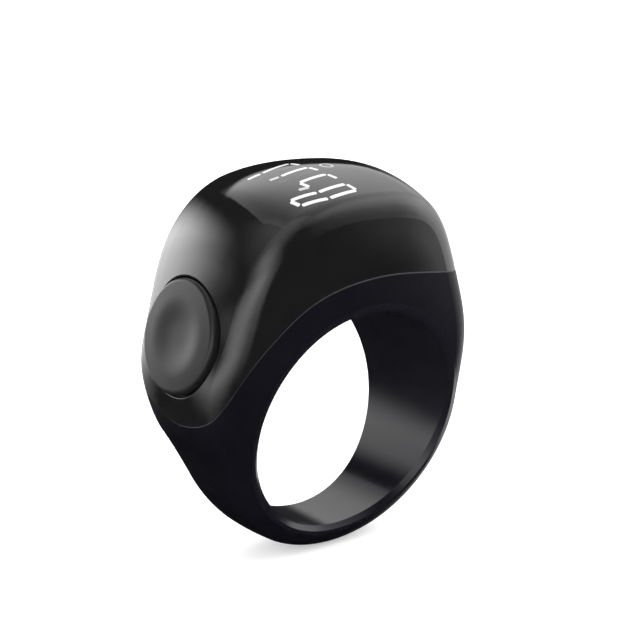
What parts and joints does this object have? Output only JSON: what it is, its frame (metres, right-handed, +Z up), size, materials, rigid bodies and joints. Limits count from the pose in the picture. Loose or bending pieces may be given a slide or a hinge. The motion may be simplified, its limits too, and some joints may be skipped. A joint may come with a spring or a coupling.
{
  "type": "finger tally counter",
  "caption": "Finger-worn digital tally counter: a wedge-shaped ring with a leaning glossy head, a display under its dome and a sprung count button on one flank.",
  "frame": {"origin": "centre of the finger bore, midway between the front and back faces", "axes": "+Y along the finger bore, +Z up through the display, +X away from the count button"},
  "size_m": [0.0278, 0.0168, 0.0337],
  "materials": {
    "gloss_black": "gloss",
    "satin_black": "satin",
    "liner_black": "semi-gloss",
    "button_black": "satin",
    "seal_grey": "matt",
    "seal_black": "matt",
    "frame_plastic": "matt",
    "steel": "satin",
    "tungsten": "satin",
    "flex_film": "satin",
    "board_green": "satin",
    "chip_black": "matt",
    "ceramic": "matt",
    "cell_foil": "satin",
    "foam": "matt",
    "tape": "matt",
    "copper_lead": "satin",
    "panel_glass": "gloss",
    "clear_filler": "gloss",
    "gold": "polished",
    "magnet": "polished",
    "switch_case": "satin"
  },
  "bodies": {
    "housing": {"upper_shell": "gloss_black", "lower_ring": "satin_black", "inner_liner": "liner_black", "housing_seal": "seal_grey", "switch_body": "switch_case", "button_flex": "flex_film", "inner_frame": "frame_plastic", "motor_can": "steel", "motor_shaft": "steel", "battery_cell": "cell_foil", "battery_pad": "foam", "battery_tape": "tape", "battery_protection_board": "board_green", "battery_leads": "copper_lead", "main_board": "board_green", "bluetooth_chip": "chip_black", "charger_chip": "chip_black", "clock_crystal": "steel", "chip_passives": "ceramic", "chip_antenna": "ceramic", "display_frame": "frame_plastic", "display_substrate": "panel_glass", "display_cover_glass": "panel_glass", "display_driver": "chip_black", "display_flex": "flex_film", "display_lens": "clear_filler", "contact_carrier": "frame_plastic", "charge_contacts": "gold", "dock_magnets": "magnet", "charge_leads": "copper_lead", "frame_screws": "steel"},
    "button": {"button_cap": "button_black", "button_o_ring": "seal_black"},
    "plunger": {"switch_plunger": "frame_plastic"},
    "rotor": {"motor_rotor": "tungsten"}
  },
  "joints": [
    {"name": "button_press", "type": "slide", "parent": "housing", "child": "button", "axis": [0.9636, 0, -0.2672], "range_m": [0, 0.0003], "stiffness_N_per_m": 1500},
    {"name": "plunger_press", "type": "slide", "parent": "housing", "child": "plunger", "axis": [0.9636, 0, -0.2672], "range_m": [0, 0.0003]},
    {"name": "rotor_spin", "type": "hinge", "parent": "housing", "child": "rotor", "pos_m": [-0.00954, 0, 0.01223], "axis": [-0.9636, 0, 0.2672], "continuous": true}
  ],
  "couplings": [
    {"joint": "plunger_press", "follows": "button_press", "ratio": 1}
  ]
}
